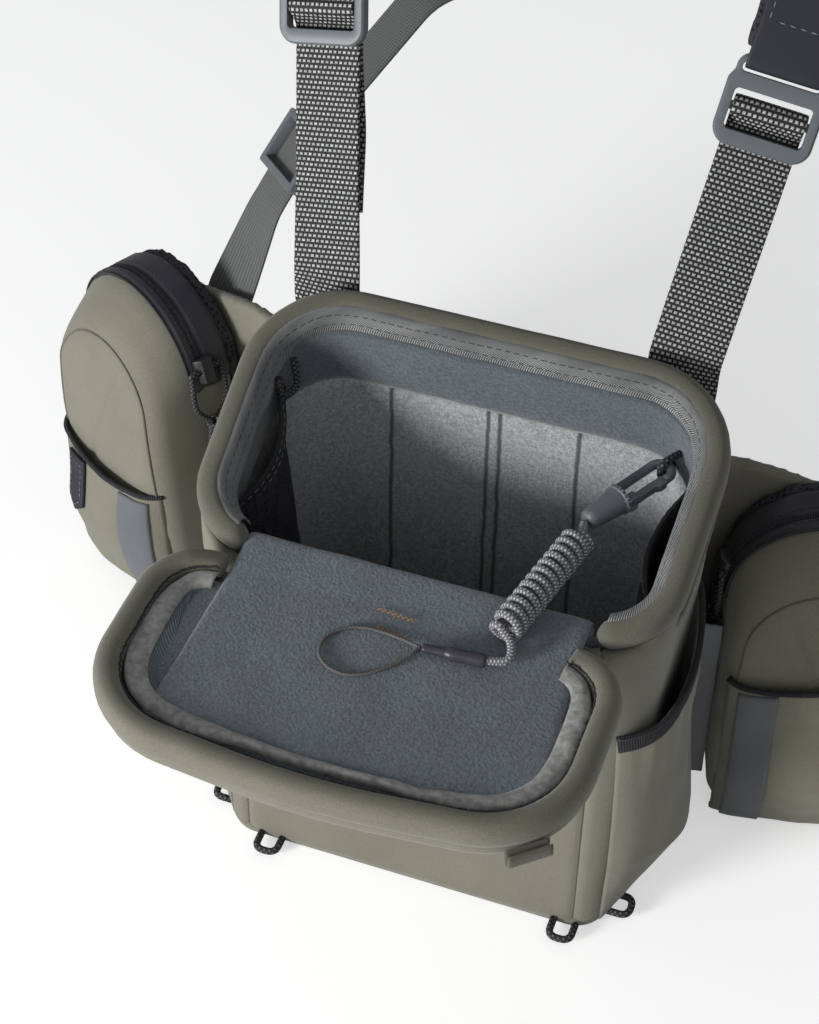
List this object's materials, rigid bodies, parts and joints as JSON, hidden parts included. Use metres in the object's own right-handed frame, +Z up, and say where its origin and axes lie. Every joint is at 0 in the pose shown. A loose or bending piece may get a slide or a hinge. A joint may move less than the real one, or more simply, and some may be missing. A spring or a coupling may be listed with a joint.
{
  "type": "binocular harness pack",
  "caption": "Chest-worn binocular pack of stretch-woven cloth: a padded open-top pouch with a forward-opening lid, zipped side pouches, a tethered clip and a webbing shoulder harness.",
  "frame": {"origin": "middle of the main pouch's base, on the surface that the pack stands on", "axes": "+Z up; the pack's front faces -Y; +X is on the right of someone who looks at the front"},
  "size_m": [0.363, 0.4269, 0.3804],
  "materials": {
    "olive_cloth": "stretch-woven cloth, matt, fine speckle",
    "fleece": "blue-grey short fleece",
    "pale_fleece": "light grey mottled fleece-faced lining",
    "grosgrain": "ribbed black and white tape",
    "mesh": "dark spacer mesh",
    "lining": "smooth light blue-grey binding cloth",
    "zip_tape": "coated dark zip tape with a coil",
    "binding": "ribbed dark elastic binding",
    "webbing": "black and white weft-ribbed webbing",
    "plain_webbing": "plain pale grey webbing",
    "tab_cloth": "dark coated cloth, matt",
    "pad_cloth": "padded cloth, matt",
    "hardware": "satin grey moulded plastic",
    "slider": "dark satin coated metal",
    "cord": "braided black and white cord",
    "elastic": "elastic cord with a braided cover",
    "sleeve": "shrink sleeve, semi gloss",
    "stiffener": "plain sheet",
    "stripe": "smooth grey-blue strip"
  },
  "bodies": {
    "pack": {"front_panel": "olive_cloth", "back_panel": "olive_cloth", "side_panel_left": "olive_cloth", "side_panel_right": "olive_cloth", "base_panel": "olive_cloth", "base_liner": "pale_fleece", "back_liner": "pale_fleece", "wall_liner": "fleece", "fleece_band": "fleece", "rim_roll": "olive_cloth", "rim_grosgrain": "grosgrain", "stretch_pocket_left": "olive_cloth", "stretch_pocket_right": "olive_cloth", "mesh_pockets": "mesh", "lid_fold": "fleece", "side_pouch_shell_left": "olive_cloth", "side_pouch_shell_right": "olive_cloth", "side_pouch_back_left": "olive_cloth", "side_pouch_back_right": "olive_cloth", "zip_band_left": "zip_tape", "zip_band_right": "zip_tape", "front_pocket_left": "olive_cloth", "front_pocket_right": "olive_cloth", "pocket_stripes": "stripe", "pocket_tabs": "tab_cloth", "pocket_bindings": "binding", "wing_left": "pad_cloth", "wing_right": "pad_cloth", "wing_gussets": "lining", "front_strap_left": "webbing", "front_strap_right": "webbing", "ladder_lock_left": "hardware", "ladder_lock_right": "hardware", "shoulder_pad_left": "pad_cloth", "shoulder_pad_right": "pad_cloth", "shoulder_tabs": "tab_cloth", "rear_strap_left": "plain_webbing", "rear_strap_right": "plain_webbing", "yoke": "pad_cloth", "lash_loops": "cord", "inner_loops": "cord", "hook_body": "hardware", "tether_coil": "elastic", "tether_lead": "elastic"},
    "lid": {"lid_rim_roll": "olive_cloth", "lid_shell": "olive_cloth", "lid_stiffener": "stiffener", "lid_fleece_panel": "fleece", "lid_lining_strip": "lining", "lid_pull_tab": "tab_cloth", "tether_sleeve": "sleeve", "tether_loop": "cord"},
    "slider_left": {"zip_slider_left": "slider"},
    "slider_right": {"zip_slider_right": "slider"},
    "pull_left": {"zip_pull_left": "cord"},
    "pull_right": {"zip_pull_right": "cord"},
    "gate": {"hook_gate": "hardware"},
    "glide_left": {"triglide_left": "hardware"},
    "glide_right": {"triglide_right": "hardware"}
  },
  "joints": [
    {"name": "lid_hinge", "type": "hinge", "parent": "pack", "child": "lid", "pos_m": [0, -0.045, 0.157], "axis": [-1, 0, 0], "range_deg": [0, 158.2], "deforming": ["lid_fold", "tether_coil", "tether_lead"]},
    {"name": "zip_slider_left", "type": "hinge", "parent": "pack", "child": "slider_left", "pos_m": [-0.16198, 0.08209, 0.10723], "axis": [-0.4848, -0.8746, 0], "range_deg": [0, 168]},
    {"name": "zip_slider_right", "type": "hinge", "parent": "pack", "child": "slider_right", "pos_m": [0.1245, 0.049, 0.103], "axis": [-0.2756, 0.9613, 0], "range_deg": [0, 168]},
    {"name": "zip_pull_left", "type": "hinge", "parent": "slider_left", "child": "pull_left", "pos_m": [-0.1271, 0.06961, 0.11932], "axis": [-0.4848, -0.8746, 0], "range_deg": [0, 40]},
    {"name": "zip_pull_right", "type": "hinge", "parent": "slider_right", "child": "pull_right", "pos_m": [0.08656, 0.04436, 0.11055], "axis": [-0.2756, 0.9613, 0], "range_deg": [0, 20]},
    {"name": "hook_gate", "type": "hinge", "parent": "pack", "child": "gate", "pos_m": [0.05853, 0.01179, 0.16365], "axis": [-0.0325, -0.0551, 0.998], "range_deg": [0, 14], "stiffness_Nm_per_rad": 0.01, "springref_deg": -11.46},
    {"name": "triglide_left", "type": "slide", "parent": "pack", "child": "glide_left", "axis": [0.3831, 0.5378, 0.751], "range_m": [-0.008, 0.008]},
    {"name": "triglide_right", "type": "slide", "parent": "pack", "child": "glide_right", "axis": [-0.1153, 0.6483, 0.7526], "range_m": [-0.008, 0.008]}
  ]
}
